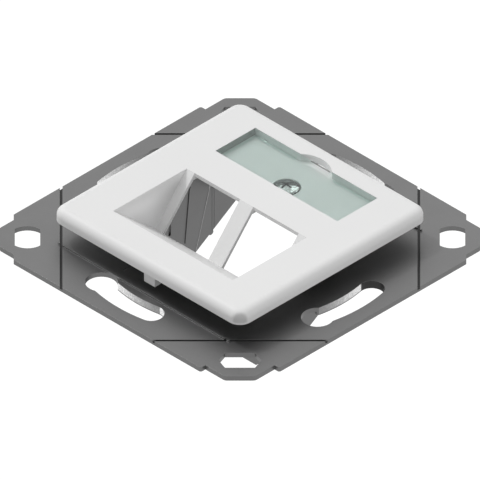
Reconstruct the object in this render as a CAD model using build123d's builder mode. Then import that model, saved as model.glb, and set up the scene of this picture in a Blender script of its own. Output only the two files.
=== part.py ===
"""Flush keystone module holder: support frame with carrier, cover plate, label window, screw.

Millimetres.  The origin is the centre of the face that lies on the wall, +Z points into
the room and +Y is up on the wall.
"""
import os
from math import cos, radians, sin

from build123d import *

# Heights
collar_height = 0.7         # pads round the slots, they stand on the wall
sheet_thickness = 1.0       # frame plate
cover_rise = 7.0            # cover's face above the front of the frame plate
plate_back = collar_height
plate_front = plate_back + sheet_thickness
cover_face = plate_front + cover_rise

# Frame outline
frame_side = 71.0
step_depth = 1.25           # how far the sides step in near the corners
corner_length = 10.5        # from a step to the frame's next side
corner_chamfer = 4.1
corner_round = 1.2
shoulder_round = 0.5
point_tolerance = 0.01      # for finding the points that get rounded

# Break-off grooves
groove_setback = 23.2       # |x| + |y| along a groove is this much less than the side
groove_width = 0.5
groove_depth = 0.5

# Holes of the frame
box_screw_radius = 30.0     # screws of the wall box stand 60 mm apart
slot_width = 5.0
slot_plain_end = 11.0       # degrees past the axis
slot_key_end = 15.8         # degrees before the axis
key_diameter = 6.2
collar_rim = 1.0
collar_start = 12.8         # degrees before the axis, so the pad ends at the round hole
round_hole_inset = 7.1      # from the frame's sides to the holes in its corners
wedge_hole_inset = 7.0
round_hole_radius = 3.6
round_hole_across = 4.8
wedge_hole_length = 8.1
wedge_hole_flat = 5.7
wedge_hole_across = 4.8
rib_at = 25.7               # ribs that centre the surround, from the centre line
rib_past_groove = 0.7       # the grooves cut through the ribs near their ends
rib_width = 0.4
rib_height = 0.35
slit_x = -8.0
slit_start = -23.2
slit_length = 4.0
slit_width = 0.35

# Cover plate
cover_side = 50.6
cover_depth = 2.8
cover_corner = 2.7
cover_edge_round = 1.7
cover_skin = 1.5
cover_rim = 1.6
lug_width = 2.9
lug_depth = 1.6
lug_setback = 1.1
lug_drop = 2.95             # below the cover's rim

# Recess for the two ports: a wedge with an inclined face and a face square to it
recess_width = 32.0
recess_top = 1.8            # y where the inclined face leaves the cover's face
recess_foot = -17.9         # y where the lower face meets the cover's face
recess_slope = 49.0         # degrees from the cover's face
wedge_wall = 0.7
wedge_end_wall = 1.0
port_width = 12.1
port_pitch = 15.7
port_lip = 0.8              # height of the wall above the ports
port_relief = 1.4

# Label recess and window
label_width = 32.6
label_low = 9.75
label_high = 20.4
label_depth = 1.7
label_floor = 1.3
label_wall = 1.0
thumb_chord = 8.3
thumb_bulge = 1.6
window_gap = 0.1
window_thickness = 1.0
window_rib = 0.7
window_far_rib = 0.6
label_slack = 0.05          # room for the paper label under the window's ribs
thumb_clear = 1.0           # from the thumb notch to the window's far ribs

# Screw of the cover plate and its boss
screw_y = 12.4
head_diameter = 5.0
head_height = 1.6
head_below_face = 1.4
head_gap = 0.3
head_round = 0.5
screw_diameter = 3.0
screw_length = 6.0
screw_hole_gap = 0.4
cross_width = 0.75
cross_reach = 2.9
cross_depth = 1.0
sleeve_diameter = 6.4
sleeve_length = 4.6         # from the cover's face down to the boss
boss_diameter = 6.4
thread_gap = 0.15           # screw's core to the wall of its threaded hole

# Carrier behind the plate
cheek_inside = 30.6         # between the two cheeks
cheek_wall = 1.0
front_wall_at = -12.0
front_wall = 0.8
carrier_depth = 22.45       # below the cover's face
cheek_rear = 22.6           # y where the cheek's slanted edge meets the plate
cheek_foot = -0.66          # y where the slanted edge starts
carrier_gap = 0.4           # between the carrier and the cover's wedge
skin_gap = 0.4              # between the carrier and the cover's skin
window_rear = 9.2           # y of the rear edge of the plate's opening
key_height = 16.5           # height of a module's seat, measured down the slope
key_above = 0.7             # how far the seat starts above the ports
key_depth = 3.6             # seat plane behind the inclined face
key_thickness = 1.6         # the lips that the modules' catches hold
lip_rear = 7.6
hood_wall = 0.9
seam_top_y = 7.0            # slanting seam of the mould on the inside of each cheek
seam_foot_y = 3.3
seam_width = 0.15
seam_height = 0.05
cheek_rib_y = 7.9           # first of two thin upright ribs on each cheek
cheek_rib_pitch = 0.6
cheek_rib_width = 0.15
cheek_rib_height = 0.05
cheek_bump_y = 7.6          # small round bump on the edge of each cheek
cheek_bump_radius = 0.6
catch_slot_y = -3.5
catch_slot_width = 0.6
catch_slot_top = 8.6        # below the cover's face
catch_slot_length = 4.0
guide_y = 1.3               # ridge that guides the modules' sides
guide_middle = 10.2         # below the cover's face
guide_length = 12.4
guide_tilt = 5.6
guide_width = 0.3
guide_height = 0.15

slope_sin = sin(radians(recess_slope))
slope_cos = cos(radians(recess_slope))
slope_tan = slope_sin / slope_cos


def below(depth):
    """Height of a point this far below the cover's face."""
    return cover_face - depth


def slope_point(down, behind):
    """(y, z) of a point: down the inclined face and behind it."""
    y = recess_top - down * slope_cos + behind * slope_sin
    z = cover_face - down * slope_sin - behind * slope_cos
    return (y, z)


def slope_at(depth, behind):
    """(y, z) on the plane this far behind the inclined face, at a depth below the cover."""
    return slope_point((depth - behind * slope_cos) / slope_sin, behind)


# The lower face of the wedge is square to the inclined one.
wedge_run = recess_top - recess_foot
wedge_length = wedge_run * slope_cos
wedge_valley = slope_point(wedge_length, 0)


def wedge_outline(grow):
    """Corners (y, z) of the wedge's section, its two faces moved outwards."""
    lower_y, lower_z = slope_point(wedge_length + grow, grow)
    rise = cover_face - lower_z
    return [
        (lower_y + rise / slope_tan, cover_face),
        (lower_y, lower_z),
        (lower_y - rise * slope_tan, cover_face),
    ]


def cheek_edge(y):
    """(y, z) on the slanted lower edge of a cheek."""
    rise = (carrier_depth - cover_rise - sheet_thickness) / (cheek_rear - cheek_foot)
    return (y, below(carrier_depth) + (y - cheek_foot) * rise)


def corner_plane(angle, distance, height):
    """Plane across a corner of the frame: local x points outwards, local y is up."""
    outward = (cos(radians(angle)), sin(radians(angle)), 0)
    across = (sin(radians(angle)), -cos(radians(angle)), 0)
    origin = (outward[0] * distance, outward[1] * distance, height)
    return Plane(origin=origin, x_dir=outward, z_dir=across)


def corner_place(angle, distance):
    """Place in a corner of the frame, turned so that its x points outwards."""
    return Location((distance * cos(radians(angle)), distance * sin(radians(angle)), 0), (0, 0, angle))


def on_screw_circle(angle):
    """(x, y) on the circle of the wall box's screws."""
    return (box_screw_radius * cos(radians(angle)), box_screw_radius * sin(radians(angle)))


def slot_profile(side_angle):
    """Curved keyhole slot round one axis, added to the sketch under way."""
    sweep = slot_plain_end + slot_key_end
    arc = CenterArc((0, 0), box_screw_radius, side_angle - slot_key_end, sweep)
    SlotArc(arc, slot_width)
    with Locations(on_screw_circle(side_angle - slot_key_end)):
        Circle(key_diameter / 2)


side_angles = [0, 90, 180, 270]
round_corners = [45, 225]
wedge_corners = [135, 315]
half_frame = frame_side / 2
groove_at = frame_side - groove_setback
groove_distance = groove_at / 2**0.5
round_hole_distance = (half_frame - round_hole_inset) * 2**0.5
wedge_hole_distance = (half_frame - wedge_hole_inset) * 2**0.5
rib_length = 2 * (groove_at - rib_at + rib_past_groove)
cheek_outside = cheek_inside + 2 * cheek_wall
half_collar = slot_width / 2 + collar_rim
opening_front = front_wall_at + front_wall
wedge_side = recess_width + 2 * (wedge_end_wall + carrier_gap)
wedge_clear = wedge_wall + carrier_gap

# Outline of the frame, one half of it: at the first corner the sides step in with a slant,
# at the second one squarely.  The other half is the same, turned round.
half_corner = half_frame - step_depth
step_at = half_frame - corner_length
slant_end = step_at + step_depth
cut_start = half_corner - corner_chamfer
corner_cut = half_corner + cut_start
slanted_corner = [
    (half_frame, step_at),
    (half_corner, slant_end),
    (half_corner, cut_start),
    (cut_start, half_corner),
    (slant_end, half_corner),
    (step_at, half_frame),
]
square_corner = [
    (-step_at, half_frame),
    (-step_at, half_corner),
    (-cut_start, half_corner),
    (-half_corner, cut_start),
    (-half_corner, step_at),
    (-half_frame, step_at),
]
half_outline = slanted_corner + square_corner
frame_outline = half_outline + [(-x, -y) for x, y in half_outline]


def on_cut(point):
    """Whether a point of the outline is an end of a cut corner."""
    return abs(abs(point.X) + abs(point.Y) - corner_cut) < point_tolerance


def on_shoulder(point):
    """Whether a point of the outline is the outer edge of a square step."""
    reach = max(abs(point.X), abs(point.Y))
    return point.X * point.Y < 0 and abs(reach - half_frame) < point_tolerance


# Hole of a round corner: a circle cut flat on two sides
with BuildSketch() as round_hole:
    Circle(round_hole_radius)
    Rectangle(round_hole_across, 2 * round_hole_radius, mode=Mode.INTERSECT)

# Support frame with the carrier, one casting
with BuildPart() as support_frame:
    with BuildSketch(Plane.XY.offset(plate_back)) as plate_sketch:
        with BuildLine():
            Polyline(*frame_outline, close=True)
        make_face()
        fillet(plate_sketch.vertices().filter_by(on_cut), corner_round)
        fillet(plate_sketch.vertices().filter_by(on_shoulder), shoulder_round)
    extrude(amount=sheet_thickness)

    # Pads along the curve of each slot and round its plain end
    collar_inside = box_screw_radius - half_collar
    collar_outside = box_screw_radius + half_collar
    collar_sweep = collar_start + slot_plain_end
    with BuildSketch():
        for side in side_angles:
            with BuildLine():
                outer = CenterArc((0, 0), collar_outside, side - collar_start, collar_sweep)
                inner = CenterArc((0, 0), collar_inside, side - collar_start, collar_sweep)
                Line(outer @ 0, inner @ 0)
                Line(outer @ 1, inner @ 1)
            make_face()
            with Locations(on_screw_circle(side + slot_plain_end)):
                Circle(half_collar)
    extrude(amount=plate_back)

    for side in (1, -1):
        with Locations((0, side * rib_at, plate_front)):
            Box(rib_length, rib_width, rib_height, align=(Align.CENTER, Align.CENTER, Align.MIN))

    # Opening for the wedge and the modules
    rear_of_wedge = slope_at(cover_rise, wedge_clear)[0]
    with BuildSketch(Plane.XY.offset(plate_back)):
        with Locations((0, opening_front)):
            Rectangle(wedge_side, rear_of_wedge - opening_front, align=(Align.CENTER, Align.MIN))
            Rectangle(cheek_inside, window_rear - opening_front, align=(Align.CENTER, Align.MIN))
    extrude(amount=sheet_thickness, mode=Mode.SUBTRACT)

    # Cheeks: a side view, cut clear of the wedge
    lip_top = skin_gap + cover_skin
    hood_foot = window_rear + hood_wall
    for side in (1, -1):
        with BuildSketch(Plane.YZ.offset(side * (cheek_inside + cheek_wall) / 2)):
            with BuildLine():
                Polyline(
                    (front_wall_at, plate_back),
                    (front_wall_at, below(carrier_depth)),
                    (cheek_foot, below(carrier_depth)),
                    (cheek_rear, plate_back),
                    (cheek_rear, plate_front),
                    (hood_foot, plate_front),
                    (lip_rear, below(lip_top)),
                    slope_at(lip_top, wedge_clear),
                    (opening_front, plate_back),
                    close=True,
                )
            make_face()
            with BuildLine():
                Polyline(*wedge_outline(wedge_clear), close=True)
            make_face(mode=Mode.SUBTRACT)
            with Locations((catch_slot_y, below(catch_slot_top + catch_slot_length / 2))):
                Rectangle(catch_slot_width, catch_slot_length, mode=Mode.SUBTRACT)
        extrude(amount=cheek_wall / 2, both=True)

    # On the cheeks: a seam, two thin ribs, a bump on the edge and a tilted ridge
    for side in (1, -1):
        with BuildSketch(Plane.YZ.offset(side * cheek_inside / 2)):
            with BuildLine():
                Polyline(
                    (seam_top_y, plate_front),
                    cheek_edge(seam_foot_y),
                    cheek_edge(seam_foot_y + seam_width),
                    (seam_top_y + seam_width, plate_front),
                    close=True,
                )
            make_face()
        extrude(amount=-side * seam_height)
        with BuildSketch(Plane.YZ.offset(side * cheek_inside / 2)):
            for rib_y in (cheek_rib_y, cheek_rib_y + cheek_rib_pitch):
                rib_foot = cheek_edge(rib_y + cheek_rib_width)[1]
                with Locations((rib_y, rib_foot)):
                    Rectangle(cheek_rib_width, plate_front - rib_foot, align=(Align.CENTER, Align.MIN))
        extrude(amount=-side * cheek_rib_height)
        with BuildSketch(Plane.YZ.offset(side * cheek_inside / 2)):
            with Locations(cheek_edge(cheek_bump_y)):
                Circle(cheek_bump_radius)
        extrude(amount=side * cheek_wall)
        with BuildSketch(Plane.YZ.offset(side * cheek_inside / 2)):
            with Locations((guide_y, below(guide_middle))):
                Rectangle(guide_width, guide_length, rotation=-guide_tilt)
        extrude(amount=-side * guide_height)

    # Front wall, the two lips that hold the modules, and the slanted rear of the hood
    with BuildSketch(Plane.YZ):
        with Locations((front_wall_at, below(carrier_depth))):
            Rectangle(front_wall, plate_back - below(carrier_depth), align=Align.MIN)
        upper_end = -key_above
        lower_end = key_height - key_above
        lip_bottom = slope_point(upper_end, key_depth + key_thickness)
        with BuildLine():
            Polyline(
                slope_at(lip_top, key_depth),
                lip_bottom,
                (lip_rear - hood_wall, lip_bottom[1]),
                (window_rear, plate_back),
                (hood_foot, plate_back),
                (hood_foot, plate_front),
                (lip_rear, below(lip_top)),
                close=True,
            )
        make_face()
        reach = (slope_point(lower_end, key_depth)[0] - front_wall_at) / slope_cos
        with BuildLine():
            Polyline(
                slope_point(lower_end, key_depth),
                slope_point(lower_end, key_depth + key_thickness),
                slope_point(lower_end + reach, key_depth + key_thickness),
                slope_point(lower_end + reach, key_depth),
                close=True,
            )
        make_face()
        with Locations((front_wall_at, below(carrier_depth))):
            Rectangle(2 * frame_side, 2 * cover_face + carrier_depth,
                      align=Align.MIN, mode=Mode.INTERSECT)
    extrude(amount=cheek_outside / 2, both=True)

    # Boss for the cover's screw, with its threaded hole
    with Locations((0, screw_y, plate_back)):
        Cylinder(boss_diameter / 2, below(sleeve_length) - plate_back,
                 align=(Align.CENTER, Align.CENTER, Align.MIN))
        Cylinder(screw_diameter / 2, 2 * cover_face, mode=Mode.SUBTRACT)

    # Holes through the plate and its collars
    with BuildSketch():
        for side in side_angles:
            slot_profile(side)
        for angle in round_corners:
            with Locations(corner_place(angle, round_hole_distance)):
                add(round_hole.sketch)
        for angle in wedge_corners:
            half_tip = wedge_hole_length / 2
            half_flat = wedge_hole_flat / 2
            half_across = wedge_hole_across / 2
            with Locations(corner_place(angle, wedge_hole_distance)):
                Polygon(
                    (half_across, half_flat), (0, half_tip), (-half_across, half_flat),
                    (-half_across, -half_flat), (0, -half_tip), (half_across, -half_flat),
                    align=None,
                )
        with Locations((slit_x, slit_start)):
            Rectangle(slit_width, slit_length, align=(Align.CENTER, Align.MIN))
    extrude(amount=plate_front, mode=Mode.SUBTRACT)

    # Break-off grooves across the corners
    for angle in round_corners + wedge_corners:
        with BuildSketch(corner_plane(angle, groove_distance, plate_front)):
            Rectangle(groove_width, 2 * groove_depth)
        extrude(amount=frame_side, both=True, mode=Mode.SUBTRACT)
support_frame.part.label = "support_frame"

# Cover plate
half_thumb = thumb_chord / 2
thumb_radius = (half_thumb**2 + thumb_bulge**2) / (2 * thumb_bulge)
label_centre = (label_low + label_high) / 2
label_height = label_high - label_low
with BuildPart() as cover_plate:
    with BuildSketch(Plane.XY.offset(below(cover_depth))):
        RectangleRounded(cover_side, cover_side, cover_corner)
    extrude(amount=cover_depth)
    fillet(cover_plate.edges().group_by(Axis.Z)[-1], cover_edge_round)
    with BuildSketch(Plane.XY.offset(below(cover_depth))):
        inner_side = cover_side - 2 * cover_rim
        RectangleRounded(inner_side, inner_side, cover_corner - cover_rim / 2)
    extrude(amount=cover_depth - cover_skin, mode=Mode.SUBTRACT)

    # Walls round the wedge and under the label
    with BuildSketch(Plane.YZ):
        with BuildLine():
            Polyline(*wedge_outline(wedge_wall), close=True)
        make_face()
        with Locations((0, cover_face - cover_skin / 2)):
            Rectangle(cover_side, frame_side, align=(Align.CENTER, Align.MAX), mode=Mode.INTERSECT)
    extrude(amount=recess_width / 2 + wedge_end_wall, both=True)
    with Locations((0, label_centre, below(label_depth + label_floor))):
        Box(label_width + 2 * label_wall, label_height + 2 * label_wall, label_floor + cover_skin / 2,
            align=(Align.CENTER, Align.CENTER, Align.MIN))

    # Wedge with its two ports
    with BuildSketch(Plane.YZ):
        with BuildLine():
            Polyline(*wedge_outline(0), close=True)
        make_face()
    extrude(amount=recess_width / 2, both=True, mode=Mode.SUBTRACT)
    for side in (1, -1):
        with BuildSketch(Plane.YZ.offset(side * port_pitch / 2)):
            with BuildLine():
                Polyline(
                    (wedge_valley[0], cover_face),
                    (recess_top, cover_face),
                    (recess_top, below(port_lip)),
                    (recess_top + port_relief, below(port_lip + port_relief)),
                    (wedge_valley[0], wedge_valley[1] - port_relief),
                    close=True,
                )
            make_face()
        extrude(amount=port_width / 2, both=True, mode=Mode.SUBTRACT)

    # Label recess with a thumb notch in its far wall
    with BuildSketch(Plane.XY.offset(below(label_depth))):
        with Locations((0, label_centre)):
            Rectangle(label_width, label_height)
        with Locations((0, label_high + thumb_bulge - thumb_radius)):
            Circle(thumb_radius)
        with Locations((0, label_low)):
            Rectangle(label_width, label_height + thumb_bulge,
                      align=(Align.CENTER, Align.MIN), mode=Mode.INTERSECT)
    extrude(amount=label_depth, mode=Mode.SUBTRACT)

    # Sleeve down to the boss, with the seat of the screw's head
    head_seat = head_below_face + head_height
    with Locations((0, screw_y, below(sleeve_length))):
        Cylinder(sleeve_diameter / 2, sleeve_length - label_depth - label_floor / 2,
                 align=(Align.CENTER, Align.CENTER, Align.MIN))
        Cylinder((screw_diameter + screw_hole_gap) / 2, sleeve_length,
                 align=(Align.CENTER, Align.CENTER, Align.MIN), mode=Mode.SUBTRACT)
    with Locations((0, screw_y, below(head_seat))):
        Cylinder(head_diameter / 2 + head_gap, head_seat,
                 align=(Align.CENTER, Align.CENTER, Align.MIN), mode=Mode.SUBTRACT)

    # Lug under the lower edge
    with Locations((0, lug_setback - cover_side / 2, below(cover_depth + lug_drop))):
        Box(lug_width, lug_depth, lug_drop + cover_depth - cover_skin,
            align=(Align.CENTER, Align.MIN, Align.MIN))
cover_plate.part.label = "cover_plate"

# Label window: a clear plate on ribs that stand on the floor of the label recess
window_width = label_width - 2 * window_gap
window_height = label_height - 2 * window_gap
rib_foot_depth = label_depth - label_slack
rib_drop = rib_foot_depth - window_thickness
with BuildPart() as label_window:
    with Locations((0, label_centre, below(window_thickness))):
        Box(window_width, window_height, window_thickness,
            align=(Align.CENTER, Align.CENTER, Align.MIN))
    far_edge = label_high - window_gap
    far_rib = window_width / 2 - half_thumb - thumb_clear
    for side in (1, -1):
        with Locations((side * (window_width - window_rib) / 2, label_centre, below(rib_foot_depth))):
            Box(window_rib, window_height, rib_drop,
                align=(Align.CENTER, Align.CENTER, Align.MIN))
        with Locations((side * (window_width - far_rib) / 2, far_edge, below(rib_foot_depth))):
            Box(far_rib, window_far_rib, rib_drop,
                align=(Align.CENTER, Align.MAX, Align.MIN))
label_window.part.label = "label_window"

# Screw of the cover plate
with BuildPart() as cover_screw:
    with Locations((0, screw_y, below(head_seat))):
        Cylinder(head_diameter / 2, head_height, align=(Align.CENTER, Align.CENTER, Align.MIN))
    fillet(cover_screw.edges().group_by(Axis.Z)[-1], head_round)
    with Locations((0, screw_y, below(head_seat))):
        Cylinder(screw_diameter / 2 - thread_gap, screw_length,
                 align=(Align.CENTER, Align.CENTER, Align.MAX))
    for turn in (0, 90):
        with Locations(Location((0, screw_y, below(head_below_face)), (0, 0, turn))):
            Box(cross_reach, cross_width, 2 * cross_depth, mode=Mode.SUBTRACT)
cover_screw.part.label = "cover_screw"

os.makedirs("parts", exist_ok=True)
export_step(support_frame.part, "parts/support_frame.step")
export_step(cover_plate.part, "parts/cover_plate.step")
export_step(label_window.part, "parts/label_window.step")
export_step(cover_screw.part, "parts/cover_screw.step")
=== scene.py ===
"""Looks of the keystone module holder: materials, floor, soft light and camera.

The frame is the part's own: the wall is the plane z = 0, +Z points into the room and +Y is
up on the wall. Blender's lengths are metres, and MM turns millimetres into them.
"""
from math import cos, pi, radians, sin

import bmesh
import bpy
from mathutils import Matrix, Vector


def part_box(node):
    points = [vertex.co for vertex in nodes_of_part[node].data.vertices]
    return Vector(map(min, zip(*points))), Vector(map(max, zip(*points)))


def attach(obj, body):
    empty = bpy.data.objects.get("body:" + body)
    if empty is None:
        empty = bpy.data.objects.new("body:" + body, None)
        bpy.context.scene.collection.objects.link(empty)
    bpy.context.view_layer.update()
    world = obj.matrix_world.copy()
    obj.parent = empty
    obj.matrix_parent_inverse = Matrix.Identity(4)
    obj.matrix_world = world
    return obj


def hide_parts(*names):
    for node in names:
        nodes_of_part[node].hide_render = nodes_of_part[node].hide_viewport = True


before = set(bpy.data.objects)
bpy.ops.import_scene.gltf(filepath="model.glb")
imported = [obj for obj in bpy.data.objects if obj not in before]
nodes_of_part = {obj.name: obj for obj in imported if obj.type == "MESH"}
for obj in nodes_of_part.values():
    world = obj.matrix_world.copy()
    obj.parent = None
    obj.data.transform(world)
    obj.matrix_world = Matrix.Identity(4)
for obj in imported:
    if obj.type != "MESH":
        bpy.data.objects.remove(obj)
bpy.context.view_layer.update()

MM = 0.001
DEGREE = pi / 180

# Camera: it looks straight down a cube's diagonal, without perspective
VIEW_TARGET = Vector((0, 0, 1.06 * MM))
VIEW_FROM = Vector((1, -1, 1)).normalized()
VIEW_DISTANCE = 0.6
VIEW_WIDTH = 90.72 * MM
VIEW_NEAR = 0.01
VIEW_FAR = 10.0

# Stage and light, lengths in metres
FLOOR_HEIGHT = -0.11
FLOOR_HALF = 3.0
FLOOR_ALBEDO = 0.45
FLOOR_LIFT = 0.62           # glow that brings the lit floor up to white
SKY_LIGHT = 0.64
# Suns: name, where the light comes from, strength and angular size
SUNS = (("key", Vector((-0.62, -0.06, 0.78)), 0.95, 0.12),
        ("soft_key", Vector((-0.62, -0.06, 0.78)), 0.48, 0.70),
        ("fill", Vector((0.97, 0.12, 0.12)), 0.27, 0.15))

# Below, lengths are in millimetres and greys are linear. A pair of lengths or of parts of a
# normal is an edge: a patch is gone at its first value and full at its second. A pair of
# greys goes from the darker to the lighter mottling.

# Casting: its skin
GRAIN_SIZE = 0.22
CLOUD_SIZE = 6.0
SKIN_GREYS = (0.166, 0.210)
# Upright faces are darker: painted shade
SHADED_SIDE_GREYS = (0.152, 0.188)
PAINTED_SHADE_GREY = 0.02
UPRIGHT = (0.6, 0.3)
LEVEL = (0.6, 0.9)
SATIN_ROUGHNESS = (0.40, 0.50)
CASTING_EDGE = 0.08

# Casting: its curved slots, whose walls are uncoated metal brightened by a painted reflection;
# one slot's end has painted shade
SLOT_RADIUS = 30.0
SLOT_HALF_WIDTH = 2.5
SLOT_WALL = (0.25, 0.10)
SLOT_ARC = ((-12.5, -12.0), (11.5, 11.0))       # degrees from the nearest axis
SLOT_END = (11.3, 11.8)                         # degrees from the nearest axis
SLOT_END_WIDTH = (2.75, 2.65)
PLATE_FRONT = 1.7
FRONT_EDGE = (PLATE_FRONT + 0.02, PLATE_FRONT - 0.02)
BACK_EDGE = (0.12, 0.30)
REFLECTION_TURN = (1.24, 0.78)
LOWER_SLOT = (-20.0, -22.0)
RIGHT_SLOT = (20.0, 22.0)
SHADED_END_STRENGTH = 0.85
CHATTER_SIZE = 0.30
CHATTER = (0.36, 0.66)
BARE_AND_REFLECTION_GREYS = (0.62, 0.97)
BARE_ROUGHNESS = 0.30

# Casting: its grooves, darkened by painted shade, and the seam on the inside of the cheeks,
# lightened by a painted highlight, as (y, z) at both ends
GROOVE = ((PLATE_FRONT - 0.20, PLATE_FRONT - 0.30), (PLATE_FRONT - 0.75, PLATE_FRONT - 0.65))
GROOVE_STRENGTH = 0.8
SEAM_TOP = (7.075, 1.7)
SEAM_FOOT = (3.375, -11.24)
SEAM_SLOPE = (SEAM_TOP[0] - SEAM_FOOT[0]) / (SEAM_TOP[1] - SEAM_FOOT[1])
SEAM_Y = SEAM_TOP[0] - SEAM_SLOPE * SEAM_TOP[1]
SEAM_WIDTH = (0.14, 0.08)
SEAM_HIGHLIGHT_GREY = 0.46
SEAM_STRENGTH = 0.8
CHEEK_TURN = (0.5, 0.8)
CHEEK_X = (15.8, 15.5)

# Cover: its plastic
COVER_WHITES = ((0.765, 0.765, 0.765, 1), (0.785, 0.785, 0.782, 1))
COVER_ROUGHNESS = (0.44, 0.54)
COVER_SPECULAR = 0.25
COVER_EDGE = 0.10
TEXTURE_SIZE = 0.18
FLOW_SIZE = 14.0

# Cover: patches of painted light and shade in the label recess, the wedge recess and at the front
# corner
LABEL_Y = ((9.0, 9.5), (22.4, 22.2))
LABEL_Z = ((6.7, 6.8), (8.68, 8.60))
LABEL_END_X = (-15.9, -16.1)
LABEL_END_TURN = (0.8, 0.9)
LABEL_END_SHADE_GREYS = (0.42, 0.48)
LABEL_WALL_TURN = (-0.8, -0.95)
LABEL_WALL_LIGHT_GREY = 0.92
NOTCH_X = ((-3.0, 2.0), (6.0, 5.0))
NOTCH_Y = (20.4, 20.5)
NOTCH_FLOOR_TURN = (0.3, 0.7)
NOTCH_WALL_LIGHT_GREY = 0.97
NOTCH_FLOOR_SHADE_GREY = 0.70
WEDGE_TURN = (0.9, 0.97)
WEDGE_X = ((-15.6, -15.8), (-16.4, -16.2))
WEDGE_Y = (4.0, 3.0)
WEDGE_Z = (8.3, 5.5)
WEDGE_SHADE_Y = (-9.0, 1.5)
WEDGE_LIT_GREY = 0.90
WEDGE_SHADE_GREY = 0.56
CORNER_TURN = (0.10, 0.36)
CORNER_X = (22.0, 24.0)
CORNER_Y = (-22.0, -24.0)
CORNER_Z = (5.9, 6.6)
CORNER_SHADE_GREY = 0.455
CORNER_STRENGTH = 0.8

# Window
WINDOW_TINTS = ((0.889, 0.969, 0.942, 1), (0.899, 0.979, 0.952, 1))
WINDOW_PALE = (0.975, 0.985, 0.98, 1)
WINDOW_IOR = 1.03
WINDOW_COAT = 0.6
WINDOW_ROUGHNESS = (0.0, 0.02)
WAVE_SIZE = 3.0
HAZE_SIZE = 0.5
PALE_X = ((-2.5, 1.0), (4.6, 3.0))
PALE_FROM_EDGE = (1.5, 0.5)

# Screw of the cover: its shape. The head is (radius, height) from its crown to its neck
SCREW_SIDES = 64
SCREW_CROWN = 7.65
HEAD_PROFILE = ((0.35, 7.645), (0.7, 7.625), (1.05, 7.585), (1.4, 7.525), (1.75, 7.44),
                (2.05, 7.345), (2.28, 7.24), (2.42, 7.12), (2.49, 6.97), (2.5, 6.8),
                (2.5, 5.85), (2.42, 5.74), (1.6, 5.72))
SCREW_NECK = 5.70
SCREW_TIP = -0.15
SCREW_CORE = 1.18
TIP_CHAMFER = 0.3
TIP_LENGTH = 0.15
THREAD_DEPTH = 0.24
THREAD_PITCH = 0.5
THREAD_STEPS = 8            # rows of points in one pitch
FLANK_SLOPE = 1.5
FLANK_START = 0.2
CROSS_WIDTH = 0.50
CROSS_REACH = 1.60
CROSS_DEPTH = 1.25
CROSS_TAPER = 0.55
CROSS_ABOVE = 0.5
SHARP_ANGLE = 32            # degrees

# Screw of the cover: its zinc-plated finish, with painted reflections and shade
SPOT_SIZE = 0.35
RING_DENSITY = 60000.0      # radians in a metre
LIT_ALONG = (0.9, 1.5)
MOTTLED_ALONG = (-1.5, -1.0)
LOWER_ASIDE = (0.0, 0.7)
MOTTLED_SPOTS = (0.45, 0.58)
MOTTLED_REFLECTION_GREYS = (0.30, 0.95)
DIM_REFLECTION_GREYS = (0.32, 0.62)
SHINY_SPOTS = (0.40, 0.55)
BRIGHT_REFLECTION_GREYS = (0.60, 0.98)
UPPER_SPOTS = (0.50, 0.66)
DARK_REFLECTION_GREYS = (0.07, 0.34)
RIM_RADIUS = (2.15, 2.35)
RIM_ASIDE = (2.0, 2.6)
RIM_SHADE_GREY = 0.12
RIM_STRENGTH = 0.8
CROSS_RADIUS = (1.70, 1.65)
CROSS_TOP = (SCREW_CROWN - 0.28, SCREW_CROWN - 0.38)
HEAD_FOOT = (SCREW_NECK - 0.1, SCREW_NECK)
CROSS_SHADE_GREY = 0.03
ZINC_ROUGHNESS = (0.16, 0.30)


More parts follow.
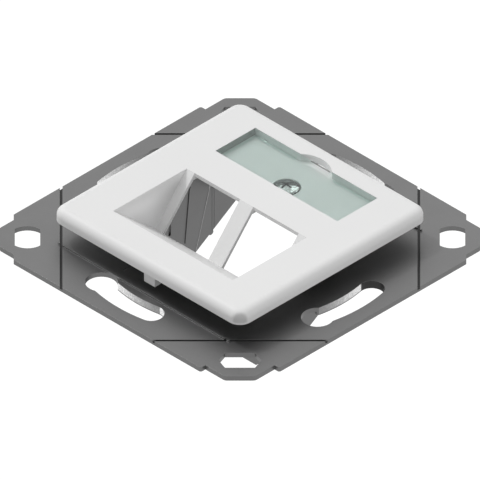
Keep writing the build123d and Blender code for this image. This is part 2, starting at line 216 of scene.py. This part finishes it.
class Tree:
    """A node tree that is built from short calls."""

    def __init__(self, tree):
        self.nodes = tree.nodes
        self.links = tree.links
        self.nodes.clear()

    def add(self, kind, settings=None, **inputs):
        """A new node, its properties set and its inputs filled with values or sockets."""
        node = self.nodes.new(kind)
        for name, value in (settings or {}).items():
            setattr(node, name, value)
        for name, value in inputs.items():
            self.put(node.inputs[name.replace("_", " ")], value)
        return node

    def put(self, socket, value):
        if isinstance(value, bpy.types.NodeSocket):
            self.links.new(value, socket)
        else:
            socket.default_value = value

    def place(self):
        """The place on the object, and its x, y and z."""
        place = self.add("ShaderNodeTexCoord").outputs["Object"]
        return place, self.add("ShaderNodeSeparateXYZ", Vector=place).outputs

    def facing(self):
        """The x, y and z of the surface's normal."""
        normal = self.add("ShaderNodeNewGeometry").outputs["Normal"]
        return self.add("ShaderNodeSeparateXYZ", Vector=normal).outputs

    def math(self, operation, a, b=0.0):
        node = self.nodes.new("ShaderNodeMath")
        node.operation = operation
        self.put(node.inputs[0], a)
        self.put(node.inputs[1], b)
        return node.outputs[0]

    def times(self, product, *factors):
        """The product of several values."""
        for factor in factors:
            product = self.math("MULTIPLY", product, factor)
        return product

    def apart(self, a, b):
        """How far two values are from each other."""
        return self.math("ABSOLUTE", self.math("SUBTRACT", a, b))

    def length(self, x, y):
        """Length of a flat vector."""
        return self.math("SQRT", self.math("ADD", self.times(x, x), self.times(y, y)))

    def fade(self, value, edge, unit=1.0, kind="SMOOTHSTEP"):
        """0 before an edge and 1 beyond it."""
        node = self.nodes.new("ShaderNodeMapRange")
        node.interpolation_type = kind
        self.put(node.inputs["Value"], value)
        node.inputs["From Min"].default_value = edge[0] * unit
        node.inputs["From Max"].default_value = edge[1] * unit
        return node.outputs["Result"]

    def inside(self, value, edges, unit=MM):
        """1 between two edges."""
        return self.times(*(self.fade(value, edge, unit) for edge in edges))

    def range(self, value, ends):
        """A value from 0 to 1 spread between two ends."""
        node = self.nodes.new("ShaderNodeMapRange")
        self.put(node.inputs["Value"], value)
        node.inputs["To Min"].default_value = ends[0]
        node.inputs["To Max"].default_value = ends[1]
        return node.outputs["Result"]

    def noise(self, vector, size, detail=2.0, roughness=0.5):
        """Noise whose blobs are about this many millimetres across."""
        node = self.nodes.new("ShaderNodeTexNoise")
        self.put(node.inputs["Vector"], vector)
        node.inputs["Scale"].default_value = 1 / (size * MM)
        node.inputs["Detail"].default_value = detail
        node.inputs["Roughness"].default_value = roughness
        return node.outputs["Fac"]

    def blend(self, factor, first, second):
        """A colour between two colours."""
        node = self.nodes.new("ShaderNodeMix")
        node.data_type = "RGBA"
        self.put(node.inputs["Factor"], factor)
        self.put(node.inputs[6], first)
        self.put(node.inputs[7], second)
        return node.outputs[2]

    def mottle(self, factor, greys):
        """A grey between two greys."""
        return self.blend(factor, grey(greys[0]), grey(greys[1]))

    def bump(self, height, strength, distance, normal=None):
        """A bumpy normal; the distance is in millimetres."""
        node = self.nodes.new("ShaderNodeBump")
        node.inputs["Strength"].default_value = strength
        node.inputs["Distance"].default_value = distance * MM
        self.put(node.inputs["Height"], height)
        if normal is not None:
            self.put(node.inputs["Normal"], normal)
        return node.outputs["Normal"]

    def soft_edge(self, radius):
        """A normal that rounds the edges."""
        return self.add("ShaderNodeBevel", {"samples": 4}, Radius=radius * MM).outputs["Normal"]


def grey(value):
    return (value, value, value, 1.0)


def new_material(name):
    """A material with one Principled shader, and what builds its nodes."""
    material = bpy.data.materials.new(name)
    material.use_nodes = True
    tree = Tree(material.node_tree)
    output = tree.add("ShaderNodeOutputMaterial")
    shader = tree.add("ShaderNodeBsdfPrincipled")
    tree.links.new(shader.outputs["BSDF"], output.inputs["Surface"])
    return material, tree, shader


def slot_patches(t, place_axes, facing, upright):
    """Where the walls of the slots are uncoated metal with painted reflection, and where the end
    of a slot has painted shade.
    """
    x, y, z = place_axes
    off_middle = t.apart(t.length(x, y), SLOT_RADIUS * MM)
    on_wall = t.fade(t.apart(off_middle, SLOT_HALF_WIDTH * MM), SLOT_WALL, MM)
    # Angle round the middle from the nearest axis of the frame
    quarter = t.math("DIVIDE", t.math("ARCTAN2", y, x), pi / 2)
    from_axis = t.times(t.math("SUBTRACT", quarter, t.math("ROUND", quarter)), pi / 2)
    behind_front = t.fade(z, FRONT_EDGE, MM)
    before_back = t.fade(z, BACK_EDGE, MM)
    on_slot = t.times(on_wall, upright, behind_front, before_back,
                      t.inside(from_axis, SLOT_ARC, DEGREE))
    # Painted reflection: the walls are brightest where their normal lies near the diagonal x = y
    bare_and_reflection = t.times(on_slot, t.fade(t.apart(facing["X"], facing["Y"]), REFLECTION_TURN, kind="LINEAR"))
    # Painted reflection and shade: the plain end of the lower slot is bright and mottled, that of
    # the right slot is dark
    at_end = t.times(upright, t.fade(from_axis, SLOT_END, DEGREE),
                     t.fade(off_middle, SLOT_END_WIDTH, MM), behind_front)
    reflecting_end = t.times(at_end, t.fade(y, LOWER_SLOT, MM), before_back)
    shaded_end = t.times(at_end, t.fade(x, RIGHT_SLOT, MM))
    return t.math("MAXIMUM", bare_and_reflection, reflecting_end), shaded_end


def casting_material():
    """Dark satin zinc casting, with painted shade on its upright faces, in its grooves and at a
    slot's end; the walls of its slots are uncoated metal made bright by painted reflection, and
    its seam has a painted highlight.
    """
    material, t, shader = new_material("zinc_casting")
    place, place_axes = t.place()
    x, y, z = place_axes
    facing = t.facing()
    upright = t.fade(t.math("ABSOLUTE", facing["Z"]), UPRIGHT)
    bare_and_reflection, shaded_end = slot_patches(t, place_axes, facing, upright)

    grain = t.noise(place, GRAIN_SIZE, detail=3.0, roughness=0.6)
    clouds = t.noise(place, CLOUD_SIZE)
    tone = t.math("ADD", t.times(grain, 0.5), t.times(clouds, 0.5))
    # Painted shade: upright faces take darker greys than the level skin
    sides = t.blend(upright, t.mottle(tone, SKIN_GREYS), t.mottle(tone, SHADED_SIDE_GREYS))
    chatter = t.noise(place, CHATTER_SIZE, roughness=0.6)
    metal = t.mottle(t.fade(chatter, CHATTER), BARE_AND_REFLECTION_GREYS)
    # The seam on the cheeks is lighter: a painted highlight along it
    off_seam = t.apart(t.math("SUBTRACT", y, SEAM_Y * MM), t.times(z, SEAM_SLOPE))
    on_cheek = t.times(t.fade(t.math("ABSOLUTE", facing["X"]), CHEEK_TURN),
                       t.fade(t.math("ABSOLUTE", x), CHEEK_X, MM))
    on_seam = t.times(t.fade(off_seam, SEAM_WIDTH, MM), on_cheek, SEAM_STRENGTH)
    sides = t.blend(on_seam, sides, grey(SEAM_HIGHLIGHT_GREY))
    sides = t.blend(t.times(shaded_end, SHADED_END_STRENGTH), sides, grey(PAINTED_SHADE_GREY))
    # Painted shade in the bottoms of the grooves
    in_groove = t.times(t.fade(facing["Z"], LEVEL), t.inside(z, GROOVE), GROOVE_STRENGTH)
    colour = t.blend(in_groove, t.blend(bare_and_reflection, sides, metal), grey(PAINTED_SHADE_GREY))

    t.put(shader.inputs["Base Color"], colour)
    shader.inputs["Metallic"].default_value = 1.0
    rough = t.add("ShaderNodeMix", {"data_type": "FLOAT"})
    t.put(rough.inputs["Factor"], bare_and_reflection)
    t.put(rough.inputs[2], t.range(grain, SATIN_ROUGHNESS))
    rough.inputs[3].default_value = BARE_ROUGHNESS
    t.put(shader.inputs["Roughness"], rough.outputs[0])
    normal = t.bump(grain, strength=0.25, distance=0.02, normal=t.soft_edge(CASTING_EDGE))
    t.put(shader.inputs["Normal"], normal)
    return material


def label_light_and_shade(t, white, flow, place_axes, facing):
    """Painted light and shade in the label recess: its left end wall is darker, its far wall and
    its notch's wall are lighter, and its notch's floor is darker.
    """
    x, y, z = place_axes
    in_label = t.times(t.inside(y, LABEL_Y), t.inside(z, LABEL_Z))
    shaded_left_end = t.times(in_label, t.fade(facing["X"], LABEL_END_TURN), t.fade(x, LABEL_END_X, MM))
    white = t.blend(shaded_left_end, white, t.mottle(flow, LABEL_END_SHADE_GREYS))
    lit_far_wall = t.times(in_label, t.fade(facing["Y"], LABEL_WALL_TURN))
    white = t.blend(lit_far_wall, white, grey(LABEL_WALL_LIGHT_GREY))
    notch = t.times(in_label, t.fade(y, NOTCH_Y, MM), t.inside(x, NOTCH_X))
    notch_light_and_shade = t.mottle(t.fade(facing["Z"], NOTCH_FLOOR_TURN),
                          (NOTCH_WALL_LIGHT_GREY, NOTCH_FLOOR_SHADE_GREY))
    return t.blend(notch, white, notch_light_and_shade)


def wedge_light_and_shade(t, white, place_axes, facing):
    """The left end of the wedge recess: painted light low on the wall and painted shade near the
    ports.
    """
    x, y, z = place_axes
    at_wedge = t.times(t.fade(facing["X"], WEDGE_TURN), t.inside(x, WEDGE_X),
                       t.fade(y, WEDGE_Y, MM), t.fade(z, WEDGE_Z, MM))
    shade = t.mottle(t.fade(y, WEDGE_SHADE_Y, MM), (WEDGE_LIT_GREY, WEDGE_SHADE_GREY))
    return t.blend(at_wedge, white, shade)


def corner_shade(t, white, place_axes, facing):
    """The rounded outer corner at the front is darker: painted shade."""
    x, y, z = place_axes
    corner = t.times(t.fade(t.times(facing["X"], facing["Y"], -1.0), CORNER_TURN),
                     t.fade(x, CORNER_X, MM), t.fade(y, CORNER_Y, MM), t.fade(z, CORNER_Z, MM))
    return t.blend(t.times(corner, CORNER_STRENGTH), white, grey(CORNER_SHADE_GREY))


def cover_material():
    """White moulded plastic with a soft gloss and the faint texture of its mould."""
    material, t, shader = new_material("white_plastic")
    place, place_axes = t.place()
    facing = t.facing()
    texture = t.noise(place, TEXTURE_SIZE)
    flow = t.noise(place, FLOW_SIZE, detail=1.0)
    white = t.blend(flow, *COVER_WHITES)
    white = label_light_and_shade(t, white, flow, place_axes, facing)
    white = wedge_light_and_shade(t, white, place_axes, facing)
    white = corner_shade(t, white, place_axes, facing)

    t.put(shader.inputs["Base Color"], white)
    t.put(shader.inputs["Roughness"], t.range(texture, COVER_ROUGHNESS))
    shader.inputs["Specular IOR Level"].default_value = COVER_SPECULAR
    normal = t.bump(texture, strength=0.12, distance=0.01, normal=t.soft_edge(COVER_EDGE))
    t.put(shader.inputs["Normal"], normal)
    return material


def window_material():
    """Clear plastic, faintly green, with a trace of waviness from its mould."""
    material, t, shader = new_material("clear_plastic")
    place, (x, y, z) = t.place()
    waves = t.noise(place, WAVE_SIZE, detail=1.0)
    # Painted light: the tint fades out beside the thumb notch, so the window shows lighter there
    far_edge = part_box("label_window")[1][1]
    near_edge = [far_edge - distance * MM for distance in PALE_FROM_EDGE]
    pale = t.times(t.fade(y, near_edge), t.inside(x, PALE_X))
    tint = t.blend(pale, t.blend(waves, *WINDOW_TINTS), WINDOW_PALE)

    t.put(shader.inputs["Base Color"], tint)
    shader.inputs["Transmission Weight"].default_value = 1.0
    shader.inputs["IOR"].default_value = WINDOW_IOR
    shader.inputs["Coat Weight"].default_value = WINDOW_COAT
    t.put(shader.inputs["Roughness"], t.range(t.noise(place, HAZE_SIZE), WINDOW_ROUGHNESS))
    t.put(shader.inputs["Normal"], t.bump(waves, strength=0.05, distance=0.02))
    return material


def screw_middle():
    """Axis of the cover's screw, in metres."""
    low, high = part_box("cover_screw")
    return (low[0] + high[0]) / 2, (low[1] + high[1]) / 2


def screw_material():
    """Bright zinc-plated screw with the rings of its turning, mottled, with painted reflections
    that light and darken its sectors and painted shade on its rim and in the cross.
    """
    material, t, shader = new_material("bright_zinc")
    place, (x, y, z) = t.place()
    middle_x, middle_y = screw_middle()
    from_x = t.math("SUBTRACT", x, middle_x)
    from_y = t.math("SUBTRACT", y, middle_y)
    radius = t.length(from_x, from_y)
    along = t.math("ADD", from_x, from_y)
    aside = t.math("SUBTRACT", from_x, from_y)

    spots = t.noise(place, SPOT_SIZE, detail=3.0)
    mottled = t.mottle(t.fade(spots, MOTTLED_SPOTS), MOTTLED_REFLECTION_GREYS)
    dull = t.mottle(spots, DIM_REFLECTION_GREYS)
    bright_reflection = t.mottle(t.fade(spots, SHINY_SPOTS), BRIGHT_REFLECTION_GREYS)
    # Painted reflections: round the axis the head's sectors are bright, dim, mottled or dark
    lower = t.blend(t.fade(along, MOTTLED_ALONG, MM), mottled,
                    t.blend(t.fade(along, LIT_ALONG, MM), dull, bright_reflection))
    upper = t.mottle(t.fade(spots, UPPER_SPOTS), DARK_REFLECTION_GREYS)
    plating_and_reflection = t.blend(t.fade(aside, LOWER_ASIDE, MM), upper, lower)
    # Painted shade on one side of the head's rim and in the cross
    rim = t.times(t.fade(radius, RIM_RADIUS, MM), t.fade(aside, RIM_ASIDE, MM), RIM_STRENGTH)
    plating_and_reflection = t.blend(rim, plating_and_reflection, grey(RIM_SHADE_GREY))
    in_cross = t.times(t.fade(z, HEAD_FOOT, MM), t.fade(radius, CROSS_RADIUS, MM),
                       t.fade(z, CROSS_TOP, MM))

    t.put(shader.inputs["Base Color"], t.blend(in_cross, plating_and_reflection, grey(CROSS_SHADE_GREY)))
    shader.inputs["Metallic"].default_value = 1.0
    t.put(shader.inputs["Roughness"], t.range(spots, ZINC_ROUGHNESS))
    rings = t.math("SINE", t.times(radius, RING_DENSITY))
    t.put(shader.inputs["Normal"], t.bump(rings, strength=0.06, distance=0.004))
    return material


def dress(name, material):
    """Gives a node of the part its material."""
    piece = nodes_of_part[name]
    if not piece.material_slots:
        piece.data.materials.append(material)
    for slot in piece.material_slots:
        slot.material = material


def screw_rows():
    """Profile of the screw from the crown of its head to its tip, in millimetres.

    Each row is (radius, height, depth of the thread there)."""
    rows = [(radius, height, 0.0) for radius, height in HEAD_PROFILE]
    steps = int((SCREW_NECK - SCREW_TIP) / THREAD_PITCH * THREAD_STEPS)
    for k in range(steps + 1):
        height = SCREW_NECK - k * THREAD_PITCH / THREAD_STEPS
        run_in = min(1.0, (SCREW_NECK - height) / THREAD_PITCH,
                     (height - SCREW_TIP) / THREAD_PITCH)
        rows.append((SCREW_CORE, height, THREAD_DEPTH * max(run_in, 0.0)))
    rows.append((SCREW_CORE - TIP_CHAMFER, SCREW_TIP - TIP_LENGTH, 0.0))
    return rows


def turned_screw():
    """Mesh of the screw in millimetres: head, neck and a thread that climbs round the core."""
    body = bmesh.new()
    rings = []
    for radius, height, thread in screw_rows():
        ring = []
        for k in range(SCREW_SIDES):
            turn = k / SCREW_SIDES
            flank = abs((height / THREAD_PITCH - turn) % 1.0 - 0.5) * 2
            reach = radius + thread * min(1.0, max(0.0, FLANK_SLOPE * flank - FLANK_START))
            angle = 2 * pi * turn
            ring.append(body.verts.new((reach * cos(angle), reach * sin(angle), height)))
        rings.append(ring)
    for upper, lower in zip(rings, rings[1:]):
        for k in range(SCREW_SIDES):
            after = (k + 1) % SCREW_SIDES
            body.faces.new((upper[k], lower[k], lower[after], upper[after]))
    crown = body.verts.new((0, 0, SCREW_CROWN))
    tip = body.verts.new((0, 0, rings[-1][0].co.z))
    for k in range(SCREW_SIDES):
        after = (k + 1) % SCREW_SIDES
        body.faces.new((crown, rings[0][k], rings[0][after]))
        body.faces.new((tip, rings[-1][after], rings[-1][k]))
    return body


def cross_tool():
    """Tapered cross that cuts the drive, in millimetres."""
    tool = bmesh.new()
    levels = ((SCREW_CROWN + CROSS_ABOVE, 1.0), (SCREW_CROWN - CROSS_DEPTH, CROSS_TAPER))
    rings = []
    for height, share in levels:
        w = CROSS_WIDTH / 2 * share
        r = CROSS_REACH * share
        outline = [(w, w), (w, r), (-w, r), (-w, w), (-r, w), (-r, -w),
                   (-w, -w), (-w, -r), (w, -r), (w, -w), (r, -w), (r, w)]
        rings.append([tool.verts.new((x, y, height)) for x, y in outline])
    count = len(rings[0])
    for k in range(count):
        after = (k + 1) % count
        tool.faces.new((rings[0][k], rings[0][after], rings[1][after], rings[1][k]))
    tool.faces.new(rings[0][::-1])
    tool.faces.new(rings[1])
    bmesh.ops.recalc_face_normals(tool, faces=tool.faces)
    return tool


def object_from(body, name):
    """An object in the scene from a bmesh, which it uses up."""
    mesh = bpy.data.meshes.new(name)
    body.to_mesh(mesh)
    body.free()
    piece = bpy.data.objects.new(name, mesh)
    bpy.context.scene.collection.objects.link(piece)
    return piece


def make_screw():
    """Screw with a domed head, a tapered cross and a real thread, instead of the plain one."""
    blank = object_from(turned_screw(), "screw_blank")
    tool = object_from(cross_tool(), "screw_tool")
    cut = blank.modifiers.new("cross", "BOOLEAN")
    cut.operation = "DIFFERENCE"
    cut.solver = "EXACT"
    cut.object = tool
    bpy.context.view_layer.update()
    evaluated = blank.evaluated_get(bpy.context.evaluated_depsgraph_get())
    finished = bpy.data.meshes.new_from_object(evaluated)
    for spare in (blank, tool):
        mesh = spare.data
        bpy.data.objects.remove(spare)
        bpy.data.meshes.remove(mesh)
    middle = Vector((*screw_middle(), 0))
    for vertex in finished.vertices:
        vertex.co = vertex.co * MM + middle
    finished.polygons.foreach_set("use_smooth", [True] * len(finished.polygons))
    finished.set_sharp_from_angle(angle=radians(SHARP_ANGLE))
    screw = bpy.data.objects.new("cross_screw", finished)
    bpy.context.scene.collection.objects.link(screw)
    finished.materials.append(screw_material())
    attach(screw, "holder")
    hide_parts("cover_screw")


def seen(t):
    """1 for rays that show the background: from the camera, a mirror or clear plastic."""
    path = t.add("ShaderNodeLightPath")
    either = t.math("MAXIMUM", path.outputs["Is Camera Ray"], path.outputs["Is Glossy Ray"])
    either = t.math("MAXIMUM", either, path.outputs["Is Transmission Ray"])
    # Light that a matt surface receives through the clear plastic stays at its plain level
    return t.times(either, t.math("LESS_THAN", path.outputs["Diffuse Depth"], 0.5))


def make_floor():
    """A pale matt floor that shows as white and keeps the shadow."""
    mesh = bpy.data.meshes.new("floor")
    h = FLOOR_HALF
    mesh.from_pydata([(-h, -h, FLOOR_HEIGHT), (h, -h, FLOOR_HEIGHT),
                      (h, h, FLOOR_HEIGHT), (-h, h, FLOOR_HEIGHT)], [], [(0, 1, 2, 3)])
    floor = bpy.data.objects.new("floor", mesh)
    bpy.context.scene.collection.objects.link(floor)
    material = bpy.data.materials.new("pale_floor")
    material.use_nodes = True
    t = Tree(material.node_tree)
    output = t.add("ShaderNodeOutputMaterial")
    matt = t.add("ShaderNodeBsdfDiffuse", Color=grey(FLOOR_ALBEDO))
    glow = t.add("ShaderNodeEmission", Color=grey(1.0), Strength=t.times(seen(t), FLOOR_LIFT))
    both = t.add("ShaderNodeAddShader")
    t.links.new(matt.outputs[0], both.inputs[0])
    t.links.new(glow.outputs[0], both.inputs[1])
    t.links.new(both.outputs[0], output.inputs["Surface"])
    mesh.materials.append(material)


def make_light():
    """A plain sky, white where it is seen, and the suns."""
    world = bpy.data.worlds.new("sky")
    bpy.context.scene.world = world
    world.use_nodes = True
    t = Tree(world.node_tree)
    output = t.add("ShaderNodeOutputWorld")
    sky = t.add("ShaderNodeBackground", Color=grey(1.0),
                Strength=t.range(seen(t), (SKY_LIGHT, 1.0)))
    t.links.new(sky.outputs[0], output.inputs["Surface"])

    for name, origin, strength, angle in SUNS:
        lamp = bpy.data.lights.new(name, "SUN")
        lamp.energy = strength
        lamp.angle = angle
        sun = bpy.data.objects.new(name, lamp)
        sun.location = origin
        sun.rotation_euler = origin.to_track_quat("Z", "Y").to_euler()
        bpy.context.scene.collection.objects.link(sun)


def make_camera():
    """The camera of the main view."""
    lens = bpy.data.cameras.new("camera")
    lens.type = "ORTHO"
    lens.ortho_scale = VIEW_WIDTH
    lens.clip_start = VIEW_NEAR
    lens.clip_end = VIEW_FAR
    camera = bpy.data.objects.new("camera", lens)
    camera.location = VIEW_TARGET + VIEW_FROM * VIEW_DISTANCE
    camera.rotation_euler = VIEW_FROM.to_track_quat("Z", "Y").to_euler()
    bpy.context.scene.collection.objects.link(camera)
    bpy.context.scene.camera = camera


dress("support_frame", casting_material())
dress("cover_plate", cover_material())
dress("label_window", window_material())
make_screw()
make_floor()
make_light()
make_camera()
bpy.context.scene.view_settings.view_transform = "Standard"
